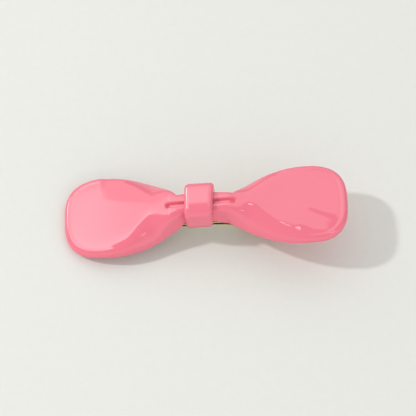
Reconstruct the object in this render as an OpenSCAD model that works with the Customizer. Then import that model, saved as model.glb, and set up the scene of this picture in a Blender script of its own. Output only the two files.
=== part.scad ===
// Bow hair clip: a moulded bow glued on a sprung two-arm metal clip.
// Frame: the bow's length lies along X and its face looks up +Z. The origin is on the
// gripping face of the clip's upper arm, straight under the middle of the knot.

/* [Bow] */
// Length of the left wing from the knot's middle to its tip
left_len = 41.2; // [36:0.2:50]
// Length of the right wing from the knot's middle to its tip
right_len = 44.3; // [38:0.1:52]
// Width across the left wing
left_wing_w = 27.2; // [20:0.2:34]
// Width across the right wing
right_wing_w = 26; // [20:0.2:34]
// Distance from the knot's middle to the widest part of the left wing
left_belly_x = 27.3; // [22:0.1:30]
// Distance from the knot's middle to the widest part of the right wing
right_belly_x = 31.5; // [26:0.1:34]
// Distance from the knot's middle to where the left wing starts to flare
left_flare_x = 4.7; // [4.6:0.1:9]
// Distance from the knot's middle to where the right wing starts to flare
right_flare_x = 8.1; // [5:0.1:9]
// How much later the back edges flare than the front edges
flare_lag = 2.6; // [0:0.1:3]
// How far the middle of the wings lies in front of the waist's middle
wing_shift = 0.5; // [0:0.1:1]
// Width of the waist
waist_w = 8.4; // [7.4:0.1:9.4]
// How far the waist's middle lies in front of the clip's middle
waist_shift = 0.25; // [0:0.05:0.25]
// How square the fall to the edge is on the waist
waist_edge = 8; // [4:1:12]
// Height of the waist's crown above the bow's flat back
waist_h = 5.9; // [4.6:0.1:8]
// Thickness of the wings
wing_t = 2.2; // [1.6:0.1:3]
// How far the surface falls from crown to edge inside the knot
waist_drop = 3.2; // [2:0.1:3.8]
// How far the surface falls from crown to edge where the flanks are steepest
flank_drop = 5.5; // [3.4:0.1:6.6]
// How far the surface falls from crown to edge at a tip
end_drop = 0.5; // [0:0.1:2]
// How far the crown line falls from the waist to the left tip
left_sag = 4.6; // [2:0.1:5.4]
// How far the crown line falls from the waist to the right tip
right_sag = 4.1; // [2:0.1:5.4]
// How square the fall to the edge is on the left wing
left_edge = 10; // [3:1:12]
// How square the fall to the edge is on the right wing
right_edge = 7; // [3:1:12]
// Half length of the solid middle that the clip is glued under
pad_half_len = 9; // [8:0.5:13]

/* [Groove] */
// Length of the crease along the crown
groove_len = 20.4; // [12:0.2:26]
// Where the middle of the crease lies along the bow
groove_x = 0.45; // [-1:0.05:1]
// Where the middle of the crease lies across the bow
groove_y = -0.4; // [-0.8:0.1:0.4]
// How far the crease slants for each millimetre along the bow
groove_skew = 0.025; // [-0.05:0.005:0.05]
// Width of the crease
groove_w = 1.6; // [0.6:0.1:2]
// Depth of the crease
groove_depth = 0.8; // [0.4:0.1:1.4]
// Radius of the round dimple that ends the crease
dimple_r = 1.15; // [0.5:0.05:1.4]
// Depth of the dimple
dimple_depth = 1; // [0.4:0.1:1.4]

/* [Knot] */
// Length of the knot along the bow
knot_len = 9; // [6:0.2:9.4]
// Depth of the knot across the bow
knot_depth = 12; // [10.6:0.1:15]
// Thickness of the knot over the waist's crown
knot_wall = 2.4; // [1:0.1:3]
// Height of the knot's legs above the bow's back
leg_lift = 0.5; // [0:0.05:1]
// Length of the rounded edge at each end of the knot
knot_round = 1.5; // [0.6:0.1:2.2]
// Radius of the knot's long corners
knot_corner = 2.6; // [1.8:0.1:3.2]
// Length of the knot's front edge as a share of its back edge
knot_front = 0.91; // [0.85:0.01:1]
// How far the knot slants for each millimetre across the bow
knot_skew = 0.055; // [0:0.005:0.08]
// How far the knot's top falls towards its front and its back
knot_dome = 0.25; // [0:0.05:0.4]
// Glue line between the knot and the waist
knot_fit = 0.05; // [0.02:0.01:0.1]

/* [Clip arms] */
// Width of both arms
clip_w = 8; // [7:0.1:8.2]
// Thickness of the sheet metal
sheet_t = 0.5; // [0.3:0.05:0.6]
// Length of the jaws from the knot's middle to their tips
jaw_len = 28; // [20:0.5:32]
// Length of the upper arm's thumb lever behind the hinge
upper_lever_len = 16; // [10:0.5:18]
// Length of the lower arm's thumb lever behind the hinge
lower_lever_len = 17; // [12:0.5:20]
// Depth of the lower lever's end below the gripping face
lever_drop = 11.4; // [10:0.1:14]
// Gap between the arms under the knot
throat_gap = 0.85; // [0.6:0.05:1.6]
// Radius of the arms' rounded corners
corner_r = 2.4; // [0.5:0.1:3]
// Thickness of the glue between the bow and the clip
glue_t = 0.4; // [0.2:0.05:1]

/* [Teeth] */
// Number of teeth on each side of the lower jaw
tooth_count = 10; // [4:1:12]
// Distance from one tooth to the next
tooth_pitch = 1.5; // [1.2:0.1:2]
// Height of the teeth
tooth_h = 0.7; // [0.5:0.05:1]
// Clearance between the closed teeth and the upper jaw
bite_gap = 0.06; // [0.02:0.01:0.2]

/* [Hinge] */
// Distance of the hinge from the knot's middle
hinge_x = 13; // [12:0.5:16]
// Depth of the hinge below the gripping face
hinge_drop = 3.4; // [3.2:0.1:4]
// Diameter of the hinge pin
pin_d = 1.5; // [1.2:0.05:1.8]
// Diameter of the pin's riveted heads
pin_head_d = 2.6; // [2.2:0.1:3.2]
// Thickness of the pin's heads
pin_head_t = 0.35; // [0.2:0.05:0.6]
// Radial clearance of the pin in the lower arm's ears
pin_fit = 0.05; // [0.02:0.01:0.09]
// Radius of the ears round the pin
ear_r = 1.6; // [1.4:0.05:1.75]
// Side clearance between the upper and the lower ears
ear_gap = 0.12; // [0.08:0.01:0.2]

/* [Spring] */
// Diameter of the spring wire
wire_d = 0.6; // [0.4:0.05:0.7]
// Whole turns of the coil
coil_turns = 5; // [3:1:6]
// Radial gap between the coil and the pin
coil_gap = 0.25; // [0.1:0.05:0.3]
// Gap between neighbouring turns
turn_gap = 0.1; // [0.05:0.01:0.2]
// Gap between a spring leg and the arm that it bears on
leg_gap = 0.12; // [0.05:0.01:0.25]
// Length of the spring's legs behind the hinge
leg_len = 11; // [6:0.5:12]

/* [Hidden] */
bow_pink = "#f98fa1";
knot_pink = "#fb93a5";
plated_gold = "#d8cb98";
spring_steel = "#b9b6ad";
clear_glue = "#ece7d6";
back_z = sheet_t + glue_t;
crown_z = back_z + waist_h;
hinge_z = -hinge_drop;
coil_r = pin_d / 2 + coil_gap + wire_d / 2;
low_floor_z = hinge_z - max(coil_r + wire_d / 2, ear_r) - 0.25;
upper_ear_in = clip_w / 2 - sheet_t;
lower_ear_out = upper_ear_in - ear_gap;
coil_half = coil_turns * (wire_d + turn_gap) / 2;
teeth_len = tooth_count * tooth_pitch;
eps = 0.01;

// Cubic step from 0 at a to 1 at b.
function smooth(a, b, x) = let (u = max(0, min(1, (x - a) / (b - a)))) u * u * (3 - 2 * u);
function mix(a, b, u) = a + (b - a) * u;

// ---- the bow's surface ----

// Values that differ between the two wings, picked by the side that x lies on.
function tip_x(x) = x < 0 ? left_len : right_len;
function belly_x(x) = x < 0 ? left_belly_x : right_belly_x;
function wing_w(x) = x < 0 ? left_wing_w : right_wing_w;

// Half width of the bow at a place x: straight waist, sine flare, superellipse end.
// side is -1 on the front edge and 1 on the back edge, which flares later and rounder.
function flare(x, side) =
    let (start = (x < 0 ? left_flare_x : right_flare_x) + (side > 0 ? flare_lag : 0))
    pow(sin(90 * max(0, min(1, (abs(x) - start) / (belly_x(x) - start)))), side > 0 ? 0.6 : 1);
function end_round(x) = let (u = min(1, max(0, abs(x) - belly_x(x)) / (tip_x(x) - belly_x(x))))
    pow(1 - pow(u, 2.8), 1 / 2.8);
function half_width(x, side) =
    mix(waist_w / 2 - side * waist_shift, wing_w(x) / 2 - side * wing_shift, flare(x, side))
    * end_round(x);

// Height of the crown line, and how far the surface falls from it to the edge.
steep_x = 7.2;
flank_edge = 2.3;
function crown(x) = let (u = max(0, (abs(x) - pad_half_len) / (tip_x(x) - pad_half_len)))
    crown_z - (x < 0 ? left_sag : right_sag) * sin(90 * min(1, u));
function drop(x) = let (s = abs(x)) mix(
    mix(waist_drop, flank_drop, smooth(3.5, steep_x, s)),
    end_drop, smooth(steep_x, belly_x(x) + 4, s));
function arch(x) = let (s = abs(x), wing_arch = x < 0 ? left_edge : right_edge)
    mix(mix(waist_edge, flank_edge, smooth(5, 15, s)), wing_arch, smooth(14, 27, s));
function skin_z(x, edge) = crown(x) - drop(x) * pow(edge, arch(x));

// Crease along the crown with a round dimple at each end.
function off_groove(x, y) = abs(y - groove_y - groove_skew * x);
function crease(x, y) = groove_depth * (1 - smooth(groove_w / 5, groove_w / 2 + 0.1, off_groove(x, y)))
    * (1 - smooth(groove_len / 2 - 0.8, groove_len / 2 + 0.3, abs(x - groove_x)));
function dimple(x, y) = dimple_depth * (1 - smooth(0.2, dimple_r,
    norm([abs(x - groove_x) - groove_len / 2 + dimple_r / 2, off_groove(x, y)])));
function top_z(x, y, edge) = skin_z(x, edge) - max(crease(x, y), dimple(x, y));

// Underside: flat over the glued middle, lower only where the flanks reach past it, then
// a plate of even thickness.
function under_z(x, edge) = let (plate = skin_z(x, edge) - wing_t)
    mix(plate, min(back_z, plate + 0.4), 1 - smooth(pad_half_len, 1.6 * pad_half_len, abs(x)));

// ---- the bow as rings that run in from the rim to the crown line ----

// Stations from tip to tip; a ring goes along the front edge and returns along the back.
stations = 92;
ring_n = 2 * stations;
top_rings = 10;
rim_rings = 6;
under_rings = 6;
function station_x(i) = (right_len - left_len) / 2 - (right_len + left_len) / 2 * cos(180 * i / stations);
function rim_point(i) = i <= stations
    ? let (x = station_x(i)) [x, -half_width(x, -1)]
    : let (x = station_x(ring_n - i)) [x, half_width(x, 1)];
function spine_point(p) = [max(-left_belly_x, min(right_belly_x, p.x)), 0];

// A point of the skin at a share of the way from the spine to the rim.
function skin_point(i, share, is_top) =
    let (p = rim_point(i), m = spine_point(p), q = m + (p - m) * share)
    [q.x, q.y, is_top ? top_z(q.x, q.y, share) : under_z(q.x, share)];
function rim_share(i) = let (p = rim_point(i)) 1 - min(0.5, wing_t / 2 / norm(p - spine_point(p)));
// A point of the rounded rim; turn goes from 90 at the top to -90 underneath.
function round_point(i, turn) =
    let (p = rim_point(i), m = spine_point(p), s = rim_share(i))
    let (share = mix(s, 1, cos(turn)), a = skin_point(i, s, true), b = skin_point(i, s, false))
    let (q = m + (p - m) * share)
    [q.x, q.y, (a.z + b.z) / 2 + (a.z - b.z) / 2 * sin(turn)];

function ring_share(k, n) = 0.02 + 0.9 * pow(k / n, 1.6);
bow_points = concat(
    [for (k = [0 : top_rings - 1]) for (i = [0 : ring_n - 1])
        skin_point(i, ring_share(k, top_rings) * rim_share(i), true)],
    [for (k = [0 : rim_rings]) for (i = [0 : ring_n - 1]) round_point(i, 90 - 180 * k / rim_rings)],
    [for (k = [under_rings - 1 : -1 : 0]) for (i = [0 : ring_n - 1])
        skin_point(i, ring_share(k, under_rings) * rim_share(i), false)]
);
bow_ring_count = top_rings + rim_rings + 1 + under_rings;

// Triangles between neighbouring rings of n points, all looking outwards.
function ring_walls(rings, n) = [
    for (k = [0 : rings - 2]) for (i = [0 : n - 1])
        let (a = k * n + i, b = k * n + (i + 1) % n, c = b + n, d = a + n)
        each [[a, b, c], [a, c, d]]
];
// Strip that closes the narrow slot inside a ring, between its front and its back points.
function slot_cap(base, flip) = [
    for (i = [0 : stations - 1])
        let (f = base + i, g = f + 1, b = base + (ring_n - i) % ring_n, c = base + ring_n - i - 1)
        each [
            if (i > 0) flip ? [f, c, b] : [f, b, c],
            flip ? [f, g, c] : [f, c, g]
        ]
];
function good(t) = t[0] != t[1] && t[1] != t[2] && t[0] != t[2];

module bow_body() {
    faces = concat(
        ring_walls(bow_ring_count, ring_n),
        slot_cap(0, false),
        slot_cap((bow_ring_count - 1) * ring_n, true)
    );
    color(bow_pink)
        polyhedron(bow_points, [for (t = faces) if (good(t)) t]);
}

// ---- the knot: a band over the waist, open underneath ----

// Section across the bow at a place along it: the outer line runs from the front leg over
// the top to the back leg, and the inner line follows the waist under the glue line.
knot_top_z = crown_z + knot_wall;
leg_z = back_z + leg_lift;
waist_station = round(acos((right_len - left_len) / (right_len + left_len)) / 180 * stations);
function knot_arc(side, inset) = let (r = knot_corner - inset) [
    for (k = [0 : knot_arc_steps])
        let (a = 90 - side * 90 * (side < 0 ? 1 - k / knot_arc_steps : k / knot_arc_steps))
        [side * (knot_depth / 2 - knot_corner) + r * cos(a), knot_top_z - knot_corner + r * sin(a)]
];
function knot_outer(inset) = let (y = knot_depth / 2 - inset)
    concat([[-y, leg_z]], knot_arc(-1, inset), knot_arc(1, inset), [[y, leg_z]]);
// The waist's own ring points from the middle of one side up to the crown, as [|y|, z].
function waist_line(i) = concat(
    [for (k = [rim_rings / 2 : -1 : 1]) let (p = round_point(i, 90 - 180 * k / rim_rings)) [abs(p.y), p.z]],
    [for (k = [top_rings : -1 : 0])
        let (share = k == top_rings ? 1 : ring_share(k, top_rings))
        [abs(rim_point(i).y) * rim_share(i) * share, skin_z(0, share * rim_share(i))]]
);
function grown(q, side) = [side * (q.x + knot_fit * min(1, q.x)), q.y + knot_fit];
function waist_side(side) = waist_w / 2 - side * waist_shift + knot_fit;
function knot_inner() = concat(
    [[-waist_side(-1), leg_z]],
    [for (q = waist_line(waist_station)) grown(q, -1)],
    [for (q = reversed(waist_line(ring_n - waist_station))) grown(q, 1)],
    [[waist_side(1), leg_z]]
);
knot_line_n = len(knot_inner());
knot_arc_steps = knot_line_n / 2 - 2;

// Stations along X with how far the rounded edge pulls the outer line in there.
edge_steps = 5;
knot_side_wall = (knot_depth - waist_w) / 2 - waist_shift - knot_fit;
edge_depth = min(knot_round, knot_side_wall - 0.2, knot_wall - 0.3);
edge_end = [for (k = [0 : edge_steps]) let (a = 90 * k / edge_steps)
    [knot_len / 2 - knot_round + knot_round * cos(a), edge_depth * (1 - sin(a))]];
knot_stations = concat([for (e = edge_end) [-e.x, e.y]], [for (k = [edge_steps : -1 : 0]) edge_end[k]]);
// The outer line's dome, and the band's slant and its shorter front edge.
function domed(q) = [q.x, q.y - knot_dome * pow(2 * q.x / knot_depth, 2) * (q.y - leg_z) / (knot_top_z - leg_z)];
function knot_x(x, y) = x * mix(knot_front, 1, y / knot_depth + 0.5) + knot_skew * y;
function knot_section(inset) = concat([for (q = knot_outer(inset)) domed(q)], reversed(knot_inner()));
function knot_ring(st) = [for (q = knot_section(st.y)) [knot_x(st.x, q.x), q.x, q.y]];
function knot_cap(base, flip) = [
    for (k = [0 : knot_line_n - 2])
        let (a = base + k, b = a + 1, d = base + 2 * knot_line_n - 1 - k, c = d - 1)
        each flip ? [[a, c, b], [a, d, c]] : [[a, b, c], [a, c, d]]
];

module knot_band() {
    n = 2 * knot_line_n;
    color(knot_pink) polyhedron(
        [for (st = knot_stations) each knot_ring(st)],
        concat(
            ring_walls(len(knot_stations), n),
            knot_cap(0, true),
            knot_cap((len(knot_stations) - 1) * n, false)
        )
    );
}

// ---- the clip ----

module glue_pad() color(clear_glue)
    translate([-pad_half_len + 0.5, -clip_w / 2 + 0.6, sheet_t])
        cube([2 * pad_half_len - 1, clip_w - 1.2, glue_t]);

// Plan of an arm from x0 to x1 with rounded corners.
module arm_plan(x0, x1, w = clip_w) {
    r = min(corner_r, w / 2 - 0.1);
    translate([x0, -w / 2 + r]) square([x1 - x0, w - 2 * r]);
    translate([x0 + r, -w / 2]) square([x1 - x0 - 2 * r, w]);
    for (x = [x0 + r, x1 - r]) for (y = [-w / 2 + r, w / 2 - r])
        translate([x, y]) circle(r, $fn = 48);
}

// Stands a side view, drawn with X along the clip and Y upwards, on the span y0 to y1.
module side_slab(y0, y1)
    translate([0, y1, 0]) rotate([90, 0, 0]) linear_extrude(y1 - y0) children();

module on_both_sides() {
    children();
    mirror([0, 1, 0]) children();
}

module pin_bore(r) translate([hinge_x, 0, hinge_z]) rotate([90, 0, 0])
    cylinder(h = 2 * clip_w, r = r, center = true, $fn = 48);

module upper_ear() side_slab(upper_ear_in, clip_w / 2) {
    translate([hinge_x, hinge_z]) circle(ear_r, $fn = 48);
    translate([hinge_x - ear_r, hinge_z]) square([2 * ear_r, hinge_drop + sheet_t / 2]);
}

module upper_arm() color(plated_gold) difference() {
    union() {
        linear_extrude(sheet_t) arm_plan(-jaw_len, hinge_x + upper_lever_len);
        on_both_sides() upper_ear();
    }
    pin_bore(pin_d / 2 + pin_fit / 2);
}

// Top line of the lower arm in side view: smooth curves through these corners, then a
// straight lever from the last but one to the last.
jaw_z = -tooth_h - bite_gap;
low_line = [
    [-jaw_len, jaw_z],
    [-jaw_len + corner_r + teeth_len, jaw_z],
    [0, -throat_gap],
    [hinge_x - 4.6, -throat_gap - 0.8],
    [hinge_x - 1, low_floor_z - 0.2],
    [hinge_x + 3, low_floor_z - 0.9],
    [hinge_x + lower_lever_len, -lever_drop + sheet_t]
];
// Catmull-Rom point of a line of corners, t of the way past corner i.
function held(i, p) = p[max(0, min(len(p) - 1, i))];
function curve_at(p, i, t) =
    let (a = held(i - 1, p), b = held(i, p), c = held(i + 1, p), d = held(i + 2, p))
    b + t / 2 * ((c - a) + t * ((2 * a - 5 * b + 4 * c - d) + t * (3 * (b - c) + d - a)));
bend_steps = 6;
lever_corner = len(low_line) - 2;
low_top = concat(
    [for (i = [0 : lever_corner - 1]) for (k = [0 : bend_steps - 1]) curve_at(low_line, i, k / bend_steps)],
    [low_line[lever_corner], low_line[lever_corner + 1]]
);
function shifted(p, dz) = [for (q = p) [q.x, q.y + dz]];
function reversed(p) = [for (i = [len(p) - 1 : -1 : 0]) p[i]];

// The lower arm's sheet in side view.
module low_sheet() polygon(concat(low_top, reversed(shifted(low_top, -sheet_t))));

// Plan of the lower arm: full width, but narrow where it passes between the upper ears.
module low_plan() difference() {
    arm_plan(-jaw_len, hinge_x + lower_lever_len);
    on_plan_sides() translate([hinge_x - ear_r - 1.2, lower_ear_out]) square([2 * ear_r + 3.4, clip_w]);
}
module on_plan_sides() {
    children();
    mirror([0, 1]) children();
}

module lower_ear() side_slab(lower_ear_out - sheet_t, lower_ear_out) {
    translate([hinge_x, hinge_z]) circle(ear_r, $fn = 48);
    polygon([
        [hinge_x - ear_r, hinge_z],
        [hinge_x + ear_r, hinge_z],
        [hinge_x + ear_r + 0.9, low_floor_z - 0.95],
        [hinge_x - ear_r - 0.2, low_floor_z - 0.3]
    ]);
}

// A row of teeth bent up from one edge of the lower jaw.
module teeth() side_slab(clip_w / 2 - sheet_t, clip_w / 2)
    for (k = [0 : tooth_count - 1])
        let (x = -jaw_len + corner_r + k * tooth_pitch)
            polygon([[x, jaw_z - sheet_t / 2], [x, jaw_z], [x + tooth_pitch / 2, -bite_gap],
                [x + tooth_pitch, jaw_z], [x + tooth_pitch, jaw_z - sheet_t / 2]]);

module lower_arm() color(plated_gold) difference() {
    union() {
        intersection() {
            side_slab(-clip_w, clip_w) low_sheet();
            translate([0, 0, -2 * lever_drop]) linear_extrude(3 * lever_drop) low_plan();
        }
        on_both_sides() lower_ear();
        on_both_sides() teeth();
    }
    pin_bore(pin_d / 2 + pin_fit);
}

module hinge_pin() color(plated_gold) translate([hinge_x, 0, hinge_z]) rotate([90, 0, 0]) {
    cylinder(h = clip_w, d = pin_d, center = true, $fn = 48);
    for (side = [-1, 1]) translate([0, 0, side * (clip_w / 2 + 0.03 + pin_head_t / 2)]) {
        cylinder(h = pin_head_t, d = pin_head_d, center = true, $fn = 48);
        translate([0, 0, -side * pin_head_t / 2]) cylinder(h = 0.2, d = pin_d, center = true, $fn = 48);
    }
}

// ---- the spring: a coil round the pin with one leg under each lever ----

coil_steps = 16;
coil_total = coil_steps * coil_turns + coil_steps / 2;
upper_leg_z = -leg_gap - wire_d / 2;
lever_start = low_line[lever_corner];
lever_end = low_line[lever_corner + 1];
lever_slope = (lever_end.y - lever_start.y) / (lever_end.x - lever_start.x);
lower_leg_z = lever_start.y + lever_slope * (hinge_x + leg_len - lever_start.x) + leg_gap + wire_d / 2;
// Wire centre: from the upper leg's end, round the coil, to the lower leg's end.
wire_path = concat(
    [[hinge_x + leg_len, -coil_half, upper_leg_z]],
    [for (k = [0 : coil_total])
        let (turn = 90 + 360 * k / coil_steps)
        [hinge_x + coil_r * cos(turn), mix(-coil_half, coil_half, k / coil_total),
            hinge_z + coil_r * sin(turn)]],
    [[hinge_x + leg_len, coil_half, lower_leg_z]]
);
wire_sides = 8;
function unit(v) = v / norm(v);
function wire_dir(i) = unit(held(i + 1, wire_path) - held(i - 1, wire_path));
function wire_side(i) = unit(cross([0, 1, 0], wire_dir(i)));
wire_points = [
    for (i = [0 : len(wire_path) - 1]) for (k = [0 : wire_sides - 1])
        let (a = 360 * k / wire_sides, u = wire_side(i), v = cross(u, wire_dir(i)))
        wire_path[i] + wire_d / 2 * (cos(a) * u + sin(a) * v)
];
wire_last = (len(wire_path) - 1) * wire_sides;

module torsion_spring() color(spring_steel) polyhedron(wire_points, concat(
    ring_walls(len(wire_path), wire_sides),
    [[for (k = [wire_sides - 1 : -1 : 0]) k], [for (k = [0 : wire_sides - 1]) wire_last + k]]
));

bow_body();
knot_band();
glue_pad();
upper_arm();
lower_arm();
hinge_pin();
torsion_spring();
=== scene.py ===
"""Bow hair clip: the looks of the moulded bow and its sprung clip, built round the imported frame."""

import math

import bmesh
import bpy
import numpy as np
from mathutils import Matrix, Vector


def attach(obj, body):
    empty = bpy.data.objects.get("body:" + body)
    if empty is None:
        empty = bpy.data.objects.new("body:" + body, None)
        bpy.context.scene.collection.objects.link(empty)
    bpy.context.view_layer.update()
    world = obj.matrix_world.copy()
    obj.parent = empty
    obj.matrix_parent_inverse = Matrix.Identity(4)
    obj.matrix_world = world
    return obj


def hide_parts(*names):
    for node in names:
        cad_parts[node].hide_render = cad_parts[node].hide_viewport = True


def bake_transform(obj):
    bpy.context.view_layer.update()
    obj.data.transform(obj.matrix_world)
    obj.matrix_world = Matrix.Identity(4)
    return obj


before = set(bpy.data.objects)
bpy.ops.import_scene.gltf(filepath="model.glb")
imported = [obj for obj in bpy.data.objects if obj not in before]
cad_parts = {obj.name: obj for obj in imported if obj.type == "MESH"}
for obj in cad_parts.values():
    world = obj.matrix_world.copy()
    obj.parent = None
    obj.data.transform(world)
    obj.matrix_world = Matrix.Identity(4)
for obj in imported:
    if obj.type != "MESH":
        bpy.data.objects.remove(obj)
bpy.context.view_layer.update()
MM = 0.001

# ---- sizes of the bow and the clip in millimetres ----
# They follow the part's source, except where a group says otherwise. A pair is the left wing's
# value and the right wing's. A span is where along the bow a change begins and where it is full.

# The outline: tips, wings, bellies and the flare. The back lag and soft start differ from the source.
TIP = (41.2, 44.3)
WING_W = (27.2, 26.0)
BELLY = (27.3, 31.5)
FLARE = (4.7, 8.1)
FLARE_LAG = 2.1
FLARE_SOFT = 0.03
FLARE_POWER = 0.6
END_POWER = 2.8
END_FROM = 4.0
WING_SHIFT = 0.5

# The section: the waist, the plate, the glued middle, and the fall from the crown to the edge.
WAIST_W = 8.4
WAIST_H = 5.9
WAIST_SHIFT = 0.25
WAIST_EDGE = 8.0
WING_T = 2.2
PAD_FADE = 1.6
PAD_ROOM = 0.4
WAIST_DROP = 3.2
FLANK_DROP = 5.5
END_DROP = 0.5
WING_SAG = (4.6, 4.1)
END_ARCH = (10.0, 7.0)
PAD_HALF = 9.0
LEVEL_X = 3.5
STEEP_X = 7.2
FLANK_EDGE = 2.3
FLANK_SPAN = (5.0, 15.0)
WING_SPAN = (14.0, 27.0)

# The crease along the crown and the dimple at each end, slightly wider and deeper than the source's.
GROOVE_LEN = 20.4
GROOVE_X = 0.45
GROOVE_Y = -0.4
GROOVE_SKEW = 0.025
GROOVE_W = 1.8
GROOVE_DEPTH = 0.95
GROOVE_FLOOR = 0.2
GROOVE_SIDE = 0.1
GROOVE_END = (0.8, 0.3)
DIMPLE_R = 1.2
DIMPLE_DEPTH = 1.25
DIMPLE_FLOOR = 0.2

# The knot: size, walls, rounded edges, slant, shorter front and dome. It leaves at least
# KNOT_LEAST of wall at its rolled ends, and rings at KNOT_FLAT keep its flats flat.
KNOT_LEN = 9.0
KNOT_DEPTH = 12.0
KNOT_WALL = 2.4
KNOT_ROUND = 1.5
KNOT_CORNER = 2.6
KNOT_FIT = 0.05
KNOT_SKEW = 0.055
KNOT_FRONT = 0.91
KNOT_DOME = 0.25
KNOT_LEAST = (0.2, 0.3)
KNOT_FLAT = (0.98, 0.8)
LEG_LIFT = 0.5

# Only here: the bead inside the rim, the left wing's lean, and the waves.
BEAD_H = 0.12
BEAD_IN = 1.35
BEAD_W = 0.55
BEAD_SPAN = (14.0, 24.0)
LEAN = 0.02
LEAN_SPAN = (-12.0, -22.0)
RIDGE_FADE = 0.25
FALL_SOFT = 0.5
# Ridges in the skin: points (x, y) along each, then its width and its height.
FOLDS = (
    ([(-12.3, -1.3), (-15, -3.2), (-18.7, -6), (-20.2, -8.6), (-21.8, -10.8), (-23.9, -12.6)], 1.3, 0.07),
    ([(13, 0.9), (16.9, -0.8), (19.4, -4), (22.8, -7.3), (24.6, -7.1), (28.4, -8.8)], 1.2, 0.08),
    ([(24.6, -7.1), (28.4, -8.8), (30, -7.9), (33.7, -10.2), (36.9, -10.6), (40, -9.6)], 1.1, 0.06),
    ([(32, -1.8), (33.2, -2.3), (36.7, -3.9), (39.8, -5.0), (41.5, -5)], 1.1, 0.06),
    ([(22, -6.6), (22.9, -4.4), (23.7, -2.3), (24.7, -0.6), (24.9, -2.4), (23.6, -4.3)], 0.8, 0.05),
    ([(9.6, 0.0), (10.6, 0.4), (12.1, 1.0), (13.4, 1.2)], 0.7, 0.10),
    ([(-5.4, -1.6), (-7.8, -3.4), (-9.7, -6.4), (-10.1, -8.6)], 0.9, 0.10),
    ([(4.5, -2.2), (9.9, -2.6), (13.4, -4.9), (16.3, -7.6), (17.3, -9.6)], 1.3, 0.08),
    ([(11, 3.4), (15, 4.6), (18.5, 6.6), (21.4, 8.8), (23.6, 10.2)], 1.4, 0.07),
)
# Falls in the skin: a line (x, y), the slope beyond it, and where along the bow it comes and goes.
FALLS = (
    ([(-30, 5.6), (-27.9, 4.7), (-24, 3.3), (-18, 2.0), (-13, 1.4)], -0.085, (-30.5, -28.0, -17.0, -12.5)),
)

# How the bow's rings are spread: share of the innermost, and the power of the spacing.
SPINE_SHARE = 0.004
RING_POWER = 1.15

# The clip: sheet, glue, hinge, pin, spring and the lower lever.
SHEET_T = 0.5
GLUE_T = 0.4
CLIP_W = 8.0
HINGE = (13.0, -3.4)
PIN_D = 1.5
PIN_HEAD_D = 2.6
PIN_HEAD_T = 0.35
PIN_EDGE = 0.05
WIRE_D = 0.6
COIL_TURNS = 5
COIL_GAP = 0.25
TURN_GAP = 0.1
LEG_GAP = 0.12
LEG_LEN = 11.0
EAR_R = 1.6
LEVER_DROP = 11.4
LEVER_LEN = 17.0
FLOOR_GAP = 0.25
LEVER_START = (3.0, 0.9)

# What follows from them.
BACK_Z = SHEET_T + GLUE_T
CROWN_Z = BACK_Z + WAIST_H
KNOT_TOP = CROWN_Z + KNOT_WALL
KNOT_LEG = BACK_Z + LEG_LIFT
COIL_R = PIN_D / 2 + COIL_GAP + WIRE_D / 2
COIL_HALF = COIL_TURNS * (WIRE_D + TURN_GAP) / 2


# ---- shapes as arrays ----


def smooth(a, b, x):
    """Cubic step from 0 at a to 1 at b."""
    u = np.clip((x - a) / (b - a), 0, 1)
    return u * u * (3 - 2 * u)


def mix(a, b, u):
    return a + (b - a) * u


def sided(pair, x):
    """The left wing's value where x is negative, otherwise the right wing's."""
    return np.where(x < 0, pair[0], pair[1])


def make_mesh(name, points, faces):
    """An object from an array of points in millimetres and a list of faces."""
    mesh = bpy.data.meshes.new(name)
    mesh.from_pydata((points * MM).tolist(), [], faces)
    mesh.validate()
    mesh.update()
    mesh.polygons.foreach_set("use_smooth", [True] * len(mesh.polygons))
    obj = bpy.data.objects.new(name, mesh)
    bpy.context.scene.collection.objects.link(obj)
    return obj


def ring_faces(rings, n, first=0):
    """Quads between neighbouring closed rings of n points."""
    k, i = np.meshgrid(np.arange(rings - 1), np.arange(n), indexing="ij")
    a = first + k * n + i
    b = first + k * n + (i + 1) % n
    return np.stack([a, b, b + n, a + n], axis=-1).reshape(-1, 4)


def closed_tube(rings):
    """Faces of closed rings in a row, with a flat cap on the first ring and on the last."""
    count, n = rings.shape[:2]
    caps = [list(range(n)), list(range(count * n - 1, (count - 1) * n - 1, -1))]
    return ring_faces(count, n)[:, ::-1].tolist() + caps


def merged(obj, distance=1e-6):
    """Welds the points of a mesh that lie on each other."""
    bm = bmesh.new()
    bm.from_mesh(obj.data)
    bmesh.ops.remove_doubles(bm, verts=bm.verts, dist=distance)
    bm.to_mesh(obj.data)
    bm.free()
    return obj


# ---- the bow ----


def half_width(x, side):
    """Half the bow's width, at the front edge for side -1 and at the back edge for side 1.

    A straight waist flares as a sine out to the belly and ends in half a superellipse. The
    back edge's flare is raised to a power, which makes it rounder, and has a soft start."""
    belly = sided(BELLY, x)
    start = sided(FLARE, x) + (side > 0) * FLARE_LAG
    flare = np.sin(np.pi / 2 * np.clip((np.abs(x) - start) / (belly - start), 0, 1))
    if side > 0:
        least = FLARE_SOFT**FLARE_POWER
        most = (1 + FLARE_SOFT) ** FLARE_POWER
        flare = ((flare + FLARE_SOFT) ** FLARE_POWER - least) / (most - least)
    u = np.clip((np.abs(x) - belly) / (sided(TIP, x) - belly), 0, 1)
    narrow = WAIST_W / 2 - side * WAIST_SHIFT
    wide = sided(WING_W, x) / 2 - side * WING_SHIFT
    return mix(narrow, wide, flare) * (1 - u**END_POWER) ** (1 / END_POWER)


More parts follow.
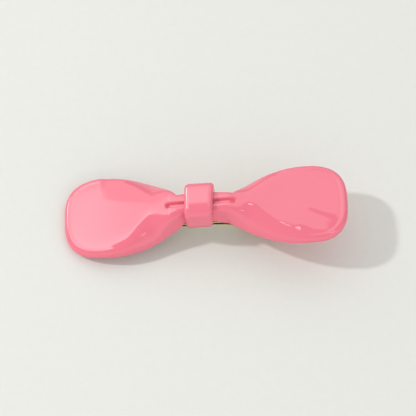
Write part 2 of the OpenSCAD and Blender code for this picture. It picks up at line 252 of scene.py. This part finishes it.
def skin_z(x, edge):
    """Crown line less the fall towards the edge, which grows as a power of the edge share."""
    s = np.abs(x)
    u = np.clip((s - PAD_HALF) / (sided(TIP, x) - PAD_HALF), 0, 1)
    crown = CROWN_Z - sided(WING_SAG, x) * np.sin(np.pi / 2 * u)
    near = mix(WAIST_DROP, FLANK_DROP, smooth(LEVEL_X, STEEP_X, s))
    drop = mix(near, END_DROP, smooth(STEEP_X, sided(BELLY, x) + END_FROM, s))
    flank = mix(WAIST_EDGE, FLANK_EDGE, smooth(*FLANK_SPAN, s))
    arch = mix(flank, sided(END_ARCH, x), smooth(*WING_SPAN, s))
    return crown - drop * edge**arch


def ridge(x, y, line, width, rise):
    """A soft ridge along a bent line of points: a bell of the distance from it, fading at its ends."""
    best = np.full(np.shape(x), 1e9)
    along = np.zeros(np.shape(x))
    pts = np.array(line, float)
    steps = len(pts) - 1
    for k in range(steps):
        a, d = pts[k], pts[k + 1] - pts[k]
        t = np.clip(((x - a[0]) * d[0] + (y - a[1]) * d[1]) / (d @ d), 0, 1)
        far = np.hypot(x - a[0] - t * d[0], y - a[1] - t * d[1])
        along = np.where(far < best, (k + t) / steps, along)
        best = np.minimum(best, far)
    fade = smooth(0, RIDGE_FADE, along) * (1 - smooth(1 - RIDGE_FADE, 1, along))
    return rise * np.exp(-((best / width) ** 2)) * fade


def fall(x, y, line, slope, span):
    """A slope that begins at a line across the wing and only counts within a span of the bow."""
    at = np.array(line, float)
    beyond = y - np.interp(x, at[:, 0], at[:, 1])
    soft = (np.sqrt(beyond**2 + FALL_SOFT**2) + beyond - FALL_SOFT) / 2
    window = smooth(span[0], span[1], x) * (1 - smooth(span[2], span[3], x))
    return slope * np.maximum(soft, 0) * window


def bead(x, edge, reach):
    """A low bead just inside the rim of the wings: a bell of the distance from the rim."""
    far = (1 - edge) * reach
    wing = smooth(*BEAD_SPAN, np.abs(x))
    return BEAD_H * wing * np.exp(-(((far - BEAD_IN) / BEAD_W) ** 2))


def waves(x, y):
    """The faint waves that the moulding left in the wings, and the left wing's lean to the back."""
    lean = -LEAN * y * smooth(*LEAN_SPAN, x)
    folds = sum(ridge(x, y, line, width, rise) for line, width, rise in FOLDS)
    falls = sum(fall(x, y, line, slope, span) for line, slope, span in FALLS)
    return lean + folds + falls


def top_z(x, y, edge, reach):
    """Skin less the crease along the crown and the dimples at its ends."""
    off = np.abs(y - GROOVE_Y - GROOVE_SKEW * x)
    place = np.abs(x - GROOVE_X)
    across = 1 - smooth(GROOVE_W * GROOVE_FLOOR, GROOVE_W / 2 + GROOVE_SIDE, off)
    along = 1 - smooth(GROOVE_LEN / 2 - GROOVE_END[0], GROOVE_LEN / 2 + GROOVE_END[1], place)
    away = np.hypot(place - GROOVE_LEN / 2 + DIMPLE_R / 2, off)
    dimple = DIMPLE_DEPTH * (1 - smooth(DIMPLE_FLOOR, DIMPLE_R, away))
    skin = skin_z(x, edge) + waves(x, y) + bead(x, edge, reach)
    return skin - np.maximum(GROOVE_DEPTH * across * along, dimple)


def under_z(x, edge):
    """Flat over the glued middle, then a plate of even thickness."""
    plate = skin_z(x, edge) - WING_T
    solid = 1 - smooth(PAD_HALF, PAD_FADE * PAD_HALF, np.abs(x))
    return mix(plate, np.minimum(BACK_Z, plate + PAD_ROOM), solid)


def rim_line(stations):
    """Points of the outline in order: tip to tip along the front edge, back along the other."""
    t = np.pi * np.arange(stations + 1) / stations
    x = (TIP[1] - TIP[0]) / 2 - (TIP[1] + TIP[0]) / 2 * np.cos(t)
    front = np.stack([x, -half_width(x, -1)], axis=-1)
    back = np.stack([x, half_width(x, 1)], axis=-1)
    return np.concatenate([front, back[-2:0:-1]])


def bow_rings(stations, tops, rims):
    """Rings that shrink from the rim to the crown line on the top and on the underside.

    A ring is the outline scaled towards the nearest point of the wings' middle line. Between
    the top rings and the under rings the rim is half an ellipse as thick as the plate."""
    rim = rim_line(stations)
    spine = np.stack([np.clip(rim[:, 0], -BELLY[0], BELLY[1]), 0 * rim[:, 0]], axis=-1)
    reach = rim - spine
    length = np.linalg.norm(reach, axis=1)
    inner = 1 - np.minimum(0.5, WING_T / 2 / length)
    share = mix(SPINE_SHARE, 1, (np.arange(tops) / tops) ** RING_POWER)
    top = share[:, None] * inner
    turn = np.pi / 2 - np.pi * np.arange(rims + 1) / rims
    bend = inner + (1 - inner) * np.cos(turn)[:, None]
    rise = np.sin(turn)[:, None]
    q_top = spine + reach * top[..., None]
    q_rim = spine + reach * bend[..., None]
    z_top = top_z(q_top[..., 0], q_top[..., 1], top, length)
    z_over = top_z(q_rim[..., 0], q_rim[..., 1], bend, length)
    z_under = under_z(q_rim[..., 0], bend)
    z_rim = (z_over + z_under) / 2 + (z_over - z_under) / 2 * rise
    back = top[::-1]
    q_back = spine + reach * back[..., None]
    z_back = under_z(q_back[..., 0], back)
    rings = [np.dstack([q_top, z_top]), np.dstack([q_rim, z_rim]), np.dstack([q_back, z_back])]
    return np.concatenate(rings)


def bow_body(stations=340, tops=60, rims=20):
    """The moulded bow: rings from the top crown line over the rim to the underside.

    The gap inside the first ring and inside the last is closed by a strip from tip to tip."""
    rings = bow_rings(stations, tops, rims)
    count, n = rings.shape[:2]
    front = np.arange(1, stations)
    back = n - front
    quads = np.stack([front[:-1], back[:-1], back[1:], front[1:]], axis=-1)
    ends = np.array([[0, n - 1, 1], [stations, stations - 1, stations + 1]])
    last = (count - 1) * n
    faces = ring_faces(count, n).tolist() + quads.tolist() + (last + quads[:, ::-1]).tolist()
    faces += ends.tolist() + (last + ends[:, [0, 2, 1]]).tolist()
    return make_mesh("bow_gloss", rings.reshape(-1, 3), faces)


# ---- the knot ----


def knot_stations(edge_steps=10):
    """Places along X, and how far the rolled ends pull the outer line in at each."""
    edge = np.pi / 2 * np.arange(edge_steps + 1) / edge_steps
    wall = (KNOT_DEPTH - WAIST_W) / 2 - WAIST_SHIFT - KNOT_FIT
    deep = min(KNOT_ROUND, wall - KNOT_LEAST[0], KNOT_WALL - KNOT_LEAST[1])
    x_end = KNOT_LEN / 2 - KNOT_ROUND + KNOT_ROUND * np.cos(edge)
    pull = deep * (1 - np.sin(edge))
    flat = x_end[-1] * np.array(KNOT_FLAT)
    x = np.concatenate([-x_end, -flat, flat[::-1], x_end[::-1]])
    return x, np.concatenate([pull, np.zeros(2 * len(flat)), pull[::-1]])


def knot_outline(inset, steps=28, leg_rows=6):
    """The outer line over the knot: upright legs, round corners, a flat top with a low dome."""
    half = np.pi / 2 * np.arange(steps + 1) / steps
    low = KNOT_TOP - KNOT_CORNER - KNOT_LEG
    r = KNOT_CORNER - inset[:, None]
    y_leg = (KNOT_DEPTH / 2 - inset)[:, None] + np.zeros(leg_rows)
    z_leg = KNOT_LEG + low * np.linspace(0, 0.95, leg_rows) + 0 * y_leg
    y_side = np.concatenate([y_leg, KNOT_DEPTH / 2 - KNOT_CORNER + r * np.cos(half)], axis=1)
    z_side = np.concatenate([z_leg, KNOT_TOP - KNOT_CORNER + r * np.sin(half)], axis=1)
    y = np.concatenate([-y_side, y_side[:, ::-1]], axis=1)
    z = np.concatenate([z_side, z_side[:, ::-1]], axis=1)
    dome = KNOT_DOME * (y / KNOT_DEPTH * 2) ** 2 * (z - KNOT_LEG) / (KNOT_TOP - KNOT_LEG)
    return y, z - dome


def waist_section(side, n=18):
    """One side of the waist's section, from its edge up to the crown, grown by the fit."""
    share = np.linspace(1, 0, n)
    half = WAIST_W / 2 - side * WAIST_SHIFT
    inner = 1 - WING_T / 2 / half
    turn = np.arccos(np.clip((share - inner) / (1 - inner), 0, 1))
    over = skin_z(0.0, share)
    under = under_z(0.0, share)
    rim = (over + under) / 2 + (over - under) / 2 * np.sin(turn)
    return (half + KNOT_FIT) * share, np.where(share > inner, rim, over) + KNOT_FIT


def knot_inline():
    """The inner line: the waist's own section from its back edge over the crown to its front."""
    y_front, z_front = waist_section(-1)
    y_back, z_back = waist_section(1)
    y = np.concatenate([y_back[:1], y_back, -y_front[::-1], -y_front[:1]])
    z = np.concatenate([[KNOT_LEG], z_back, z_front[::-1], [KNOT_LEG]])
    return y, z


def knot_band():
    """A band over the waist: its section carried along X, slanted and shorter at the front."""
    x, inset = knot_stations()
    outer_y, outer_z = knot_outline(inset)
    inner_y, inner_z = (line + 0 * x[:, None] for line in knot_inline())
    y = np.concatenate([outer_y, inner_y], axis=1)
    z = np.concatenate([outer_z, inner_z], axis=1)
    share = mix(KNOT_FRONT, 1, y / KNOT_DEPTH + 0.5)
    rings = np.dstack([x[:, None] * share + KNOT_SKEW * y, y, z])
    return make_mesh("knot_gloss", rings.reshape(-1, 3), closed_tube(rings))


# ---- the spring and the pin ----


def tube_along(name, path, radius, sides=14):
    """A round wire swept along a path, its ends closed by small domes.

    The rings turn with the path and not about it: each takes its first axis from the last."""
    tangent = np.gradient(path, axis=0)
    tangent /= np.linalg.norm(tangent, axis=1)[:, None]
    normal = np.zeros_like(path)
    before = np.array([0.0, 1.0, 0.0])
    for i, ahead in enumerate(tangent):
        across = before - ahead * (before @ ahead)
        normal[i] = before = across / np.linalg.norm(across)
    side = np.cross(tangent, normal)
    a = 2 * np.pi * np.arange(sides) / sides
    ring = normal[:, None] * np.cos(a)[:, None] + side[:, None] * np.sin(a)[:, None]
    dome = np.array([[0.86, 0.35], [0.5, 0.75]])
    head = [path[0] + radius * (ring[0] * w - tangent[0] * d) for w, d in dome[::-1]]
    tail = [path[-1] + radius * (ring[-1] * w + tangent[-1] * d) for w, d in dome]
    rings = np.concatenate([np.array(head), path[:, None] + radius * ring, np.array(tail)])
    return make_mesh(name, rings.reshape(-1, 3), closed_tube(rings))


def lower_leg_z():
    """Height of the end of the spring's lower leg, which lies on the lower lever's sheet."""
    start_x, start_drop = LEVER_START
    start_z = HINGE[1] - max(COIL_R + WIRE_D / 2, EAR_R) - FLOOR_GAP - start_drop
    slope = (SHEET_T - LEVER_DROP - start_z) / (LEVER_LEN - start_x)
    return start_z + slope * (LEG_LEN - start_x) + LEG_GAP + WIRE_D / 2


def spring_path(steps=30, leg_steps=16):
    """Upper leg, helix round the pin, lower leg: the helix stands on the Y axis."""
    turns = COIL_TURNS + 0.5
    u = np.linspace(0, 1, int(steps * turns) + 1)
    turn = np.pi / 2 + 2 * np.pi * turns * u
    x = HINGE[0] + COIL_R * np.cos(turn)
    z = HINGE[1] + COIL_R * np.sin(turn)
    coil = np.stack([x, mix(-COIL_HALF, COIL_HALF, u), z], axis=-1)
    upper = np.array([HINGE[0] + LEG_LEN, -COIL_HALF, -LEG_GAP - WIRE_D / 2])
    lower = np.array([HINGE[0] + LEG_LEN, COIL_HALF, lower_leg_z()])
    share = np.linspace(0, 1, leg_steps, endpoint=False)[:, None]
    return np.concatenate([mix(upper, coil[0], share), coil, mix(lower, coil[-1], share)[::-1]])


def pin_profile():
    """Radius against Y of half the pin: shank, underside of the head, domed head."""
    y_head = CLIP_W / 2 + PIN_EDGE
    a = np.linspace(0, np.pi / 2, 10)
    dome_r = PIN_HEAD_D / 2 * np.cos(a)
    dome_y = y_head + PIN_HEAD_T * np.sin(a)
    r = np.concatenate([[PIN_D / 2, PIN_D / 2, PIN_HEAD_D / 2 - PIN_EDGE], dome_r])
    y = np.concatenate([[0, y_head, y_head], dome_y])
    return r, y


def hinge_pin(sides=48):
    """The pin's profile turned about the hinge axis, with a domed head at each end."""
    r, y = pin_profile()
    r = np.concatenate([r[::-1], r[1:]])
    y = np.concatenate([-y[::-1], y[1:]])
    a = 2 * np.pi * np.arange(sides) / sides
    x = HINGE[0] + r[:, None] * np.cos(a)
    z = HINGE[1] + r[:, None] * np.sin(a)
    rings = np.dstack([x, y[:, None] + 0 * x, z])
    return merged(make_mesh("rivet_pin", rings.reshape(-1, 3), ring_faces(len(r), sides).tolist()))


# ---- materials ----


class Socket:
    """An output of a shader node that takes arithmetic."""

    def __init__(self, tree, link):
        self.tree = tree
        self.link = link

    def sibling(self, name):
        """Another output of the same node."""
        return Socket(self.tree, self.link.node.outputs[name])

    def maths(self, operation, *others):
        return self.tree.add("ShaderNodeMath", {"operation": operation}, self, *others)

    def __add__(self, other):
        return self.maths("ADD", other)

    def __sub__(self, other):
        return self.maths("SUBTRACT", other)

    def __rsub__(self, other):
        return self.tree.add("ShaderNodeMath", {"operation": "SUBTRACT"}, other, self)

    def __mul__(self, other):
        return self.maths("MULTIPLY", other)

    __radd__ = __add__


class Nodes:
    """A node tree that is being filled."""

    def __init__(self, tree):
        self.nodes = tree.nodes
        self.links = tree.links

    def put(self, socket, value):
        """Links an output to a socket, or writes a value into it."""
        if isinstance(value, Socket):
            self.links.new(value.link, socket)
        else:
            socket.default_value = value

    def add(self, kind, settings, *inputs, out=0, **named):
        """Adds a node: its settings first, then the values or links of its sockets."""
        node = self.nodes.new(kind)
        for key, value in settings.items():
            setattr(node, key, value)
        for index, value in enumerate(inputs):
            self.put(node.inputs[index], value)
        for key, value in named.items():
            self.put(node.inputs[key], value)
        return Socket(self, node.outputs[out])


class Finish(Nodes):
    """A material being made of nodes."""

    def __init__(self, name):
        self.material = bpy.data.materials.new(name)
        self.material.use_nodes = True
        super().__init__(self.material.node_tree)
        self.place = self.add("ShaderNodeTexCoord", {}, out="Object")

    def noise(self, scale, detail):
        return self.add("ShaderNodeTexNoise", {}, Vector=self.place, Scale=scale, Detail=detail)

    def blend(self, share, a, b):
        """A colour between a and b."""
        node = self.nodes.new("ShaderNodeMix")
        node.data_type = "RGBA"
        self.put(node.inputs[0], share)
        self.put(node.inputs[6], a)
        self.put(node.inputs[7], b)
        return Socket(self, node.outputs[2])

    def bump(self, height, strength, distance):
        sockets = {"Height": height, "Strength": strength, "Distance": distance}
        return self.add("ShaderNodeBump", {}, out="Normal", **sockets)

    def set(self, **sockets):
        """Fills sockets of the surface and gives the finished material."""
        surface = self.nodes["Principled BSDF"]
        for key, value in sockets.items():
            self.put(surface.inputs[key.replace("_", " ")], value)
        return self.material


def srgb(r, g, b):
    """A colour written as 0 to 255 screen values, as linear light."""
    c = np.array([r, g, b]) / 255
    lin = np.where(c <= 0.04045, c / 12.92, ((c + 0.055) / 1.055) ** 2.4)
    return (*lin.tolist(), 1.0)


def pink_gloss(name, colour, shade):
    """Glossy moulded plastic: faint flow marks in colour, a very slight unevenness in the skin."""
    f = Finish(name)
    return f.set(
        Base_Color=f.blend(f.noise(60.0, 4), shade, colour),
        Roughness=f.noise(900.0, 2) * 0.03 + 0.035,
        IOR=1.55,
        Normal=f.bump(f.noise(160.0, 1), 0.25, 0.00002),
    )


def gold_plating():
    """Pale gold plating: brushed along the clip, a little darker in patches."""
    f = Finish("gold_plating")
    stretch = f.add("ShaderNodeMapping", {}, Vector=f.place, Scale=(0.06, 1.0, 1.0))
    brushed = f.add("ShaderNodeTexNoise", {}, Vector=stretch, Scale=2600.0, Detail=3.0)
    return f.set(
        Base_Color=f.blend(f.noise(140.0, 2), srgb(226, 210, 158), srgb(240, 229, 186)),
        Metallic=1.0,
        Roughness=brushed * 0.16 + 0.16,
        Normal=f.bump(brushed, 0.2, 0.00001),
    )


def spring_wire():
    """Drawn steel wire: fine lines and a little tarnish."""
    f = Finish("spring_wire")
    grain = f.noise(1800.0, 3)
    return f.set(
        Base_Color=f.blend(f.noise(300.0, 2), srgb(150, 147, 140), srgb(196, 193, 186)),
        Metallic=1.0,
        Roughness=grain * 0.2 + 0.2,
        Normal=f.bump(grain, 0.2, 0.00001),
    )


def set_glue():
    """Clear set glue: slightly milky, with small bubbles."""
    f = Finish("set_glue")
    bubbles = f.add("ShaderNodeTexVoronoi", {}, Vector=f.place, Scale=900.0)
    cloud = f.noise(300.0, 3)
    return f.set(
        Base_Color=f.blend(cloud, srgb(222, 214, 196), srgb(240, 234, 220)),
        Roughness=cloud * 0.2 + 0.2,
        Normal=f.bump(bubbles, 0.3, 0.00005),
    )


def pale_floor():
    """A matt sheet of pale grey paper."""
    f = Finish("pale_floor")
    colour = f.blend(f.noise(500.0, 4), srgb(227, 228, 224), srgb(231, 232, 228))
    return f.set(Base_Color=colour, Roughness=0.9, IOR=1.3)


def dress(obj, material, body=None, replaces=()):
    """Gives a piece its finish, its body and the CAD nodes it stands for."""
    obj.data.materials.clear()
    obj.data.materials.append(material)
    if body:
        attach(obj, body)
    if replaces:
        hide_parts(*replaces)
    return obj


# ---- floor, light and camera ----

# Angles are in degrees. The lights' strengths are the world's, and the lamp's power is in watts.
TILT = 8.7
FLOOR_HALF = 1.2

# The window in the gloss: elevations of its foot, of where it brightens and of its top.
WINDOW_EL = (20.0, 42.0, 63.0)
WINDOW_AZ = 62.0
WINDOW_LIGHT = 1.7
WINDOW_TOP = 5.2
WINDOW_SOFT = 1.1
WINDOW_GLOW = (-0.5, 0.15)
WINDOW_FADE = (4.0, 0.7, 10.0)

# Small bright discs that only the gloss sees: their direction, radius and strength.
GLINTS = (
    ((-0.67, 0.58, 0.46), 10.0, 10.0),
    ((0.2, 0.26, 0.945), 2.6, 5.0),
    ((-0.33, 0.24, 0.91), 3.0, 3.0),
    ((0.53, -0.27, 0.80), 6.5, 9.0),
)
GLINT_EDGE = (1.3, 0.6)

# The room, the low front fill, what the camera itself sees behind, and the lamp.
ROOM_LIGHT = 0.56
ROOM_GLOSS = 0.4
FRONT_LIGHT = 1.15
FRONT_FACING = (-0.5, 0.3)
FRONT_EL = (25.0, 55.0)
FRONT_LEAN = 0.5
BACKDROP = 0.8
LAMP_AT = (-0.748, 0.104, 0.932)
LAMP_SIZE = 0.08
LAMP_POWER = 5.3

# The camera: angles, distance in millimetres, and the pixel where the origin lies.
CAM_AZ, CAM_EL, CAM_ROLL, CAM_D = 6.6, 60.8, -9.5, 628.0
CAM_AT = (200.7, 212.1)
PX_PER_MM = 3.32
IMAGE_PX = 416
SENSOR = 36.0


def floor_normal():
    t = math.radians(TILT)
    return Vector((math.sin(t), 0, math.cos(t)))


def lowest(objects, n):
    """The objects' lowest place along the direction n, in metres."""
    reach = []
    for obj in objects:
        co = np.zeros(len(obj.data.vertices) * 3, np.float32)
        obj.data.vertices.foreach_get("co", co)
        reach.append((co.reshape(-1, 3) @ np.array(n)).min())
    return min(reach)


def make_floor(objects):
    """A plain plane under the clip, tilted so that the clip lies on its left wing and its lever."""
    n = floor_normal()
    side = Vector((0, 1, 0)).cross(n).normalized() * FLOOR_HALF
    ahead = n.cross(side)
    middle = n * lowest(objects, n)
    corners = [middle - side - ahead, middle + side - ahead, middle + side + ahead, middle - side + ahead]
    mesh = bpy.data.meshes.new("floor")
    mesh.from_pydata([tuple(c) for c in corners], [], [(0, 1, 2, 3)])
    mesh.materials.append(pale_floor())
    floor = bpy.data.objects.new("floor", mesh)
    bpy.context.scene.collection.objects.link(floor)


def make_world():
    """Soft studio light: an even room for the light, and in the gloss a broad window on the +Y side.

    The window is a band of elevation times a band of azimuth with soft ends. It is brightest
    towards its upper edge and its left. A low fill stands in front, stronger on the right."""
    world = bpy.data.worlds.new("studio")
    bpy.context.scene.world = world
    world.use_nodes = True
    sky = Nodes(world.node_tree)
    way = sky.add("ShaderNodeTexCoord", {}, out="Generated")
    east = sky.add("ShaderNodeSeparateXYZ", {}, way)
    height = east.sibling("Z")
    level = (1 - height * height).maths("SQRT")
    across = east.maths("DIVIDE", level)
    facing = east.sibling("Y").maths("DIVIDE", level)

    def step(value, a, b):
        return sky.add("ShaderNodeMapRange", {"interpolation_type": "SMOOTHSTEP"}, value, a, b, 0.0, 1.0)

    def rise(a, b):
        return step(height, math.sin(math.radians(a)), math.sin(math.radians(b)))

    low, glow, high = WINDOW_EL
    fade_low, fade_high, fade_side = WINDOW_FADE
    band = rise(low - fade_low, low + fade_low) - rise(high - fade_high, high + fade_high)
    sides = (math.cos(math.radians(WINDOW_AZ + fade)) for fade in (fade_side, -fade_side))
    window = band * step(facing, *sides)
    bright = rise(glow, high) * (1 - step(across, *WINDOW_GLOW)) * (WINDOW_TOP - WINDOW_LIGHT)
    front = (1 - step(facing, *FRONT_FACING)) * (1 - rise(*FRONT_EL)) * (1 + across * FRONT_LEAN)
    soft = window * (WINDOW_SOFT - ROOM_LIGHT) + front * (FRONT_LIGHT - ROOM_LIGHT) + ROOM_LIGHT
    mirror = window * (bright + (WINDOW_LIGHT - ROOM_GLOSS)) + front * (FRONT_LIGHT - ROOM_GLOSS) + ROOM_GLOSS
    for towards, radius, light in GLINTS:
        near = sky.add("ShaderNodeVectorMath", {"operation": "DOT_PRODUCT"}, way, towards, out="Value")
        edge = (math.cos(math.radians(radius * share)) for share in GLINT_EDGE)
        mirror = mirror + step(near, *edge) * light
    seen = sky.add("ShaderNodeLightPath", {}, out="Is Camera Ray")
    light = mix(soft, mirror, seen.sibling("Is Glossy Ray"))
    background = sky.nodes["Background"]
    background.inputs["Color"].default_value = (1.0, 1.0, 0.98, 1)
    sky.put(background.inputs["Strength"], mix(light, BACKDROP, seen))


def make_lamp():
    """A small square lamp up on the left, which throws the shadow and is kept out of the gloss."""
    lamp = bpy.data.lights.new("sun_lamp", "AREA")
    lamp.shape = "SQUARE"
    lamp.size = LAMP_SIZE
    lamp.energy = LAMP_POWER
    obj = bpy.data.objects.new("sun_lamp", lamp)
    bpy.context.scene.collection.objects.link(obj)
    obj.location = LAMP_AT
    obj.visible_glossy = False
    obj.rotation_mode = "QUATERNION"
    obj.rotation_quaternion = (-Vector(LAMP_AT)).to_track_quat("-Z", "Y")


def make_camera():
    """The camera looks at the clip from the front and above, turned a little about its own axis."""
    a, e, r = (math.radians(v) for v in (CAM_AZ, CAM_EL, CAM_ROLL))
    back = Vector((math.sin(a) * math.cos(e), -math.cos(a) * math.cos(e), math.sin(e)))
    flat = Vector((math.cos(a), math.sin(a), 0))
    lift = back.cross(flat)
    right = flat * math.cos(r) + lift * math.sin(r)
    up = lift * math.cos(r) - flat * math.sin(r)
    slide_x, slide_y = ((IMAGE_PX / 2 - at) / PX_PER_MM for at in CAM_AT)
    place = back * CAM_D + right * slide_x - up * slide_y
    data = bpy.data.cameras.new("camera")
    data.sensor_width = SENSOR
    data.lens = SENSOR * PX_PER_MM * CAM_D / IMAGE_PX
    data.clip_start = 0.01
    data.clip_end = 10
    cam = bpy.data.objects.new("camera", data)
    bpy.context.scene.collection.objects.link(cam)
    turn = Matrix((right, up, back)).transposed().to_4x4()
    cam.matrix_world = Matrix.Translation(place * MM) @ turn
    bpy.context.scene.camera = cam


# ---- the object ----

bow_pink = pink_gloss("bow_pink", srgb(241, 121, 141), srgb(238, 115, 136))
knot_pink = pink_gloss("knot_pink", srgb(242, 122, 142), srgb(239, 117, 138))
gold = gold_plating()
steel = spring_wire()
glue = set_glue()

bow = dress(bow_body(), bow_pink, "bow", ["bow_body"])
dress(knot_band(), knot_pink, "bow", ["knot_band"])
dress(hinge_pin(), gold, "bow", ["hinge_pin"])
for node in ("upper_arm", "lower_arm"):
    dress(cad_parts[node], gold)
spring = tube_along("wire_spring", spring_path(), WIRE_D / 2)
dress(spring, steel, replaces=["torsion_spring"])
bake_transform(spring)
dress(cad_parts["glue_pad"], glue)

make_floor([bow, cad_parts["lower_arm"]])
make_world()
make_lamp()
make_camera()
bpy.context.scene.view_settings.view_transform = "Standard"
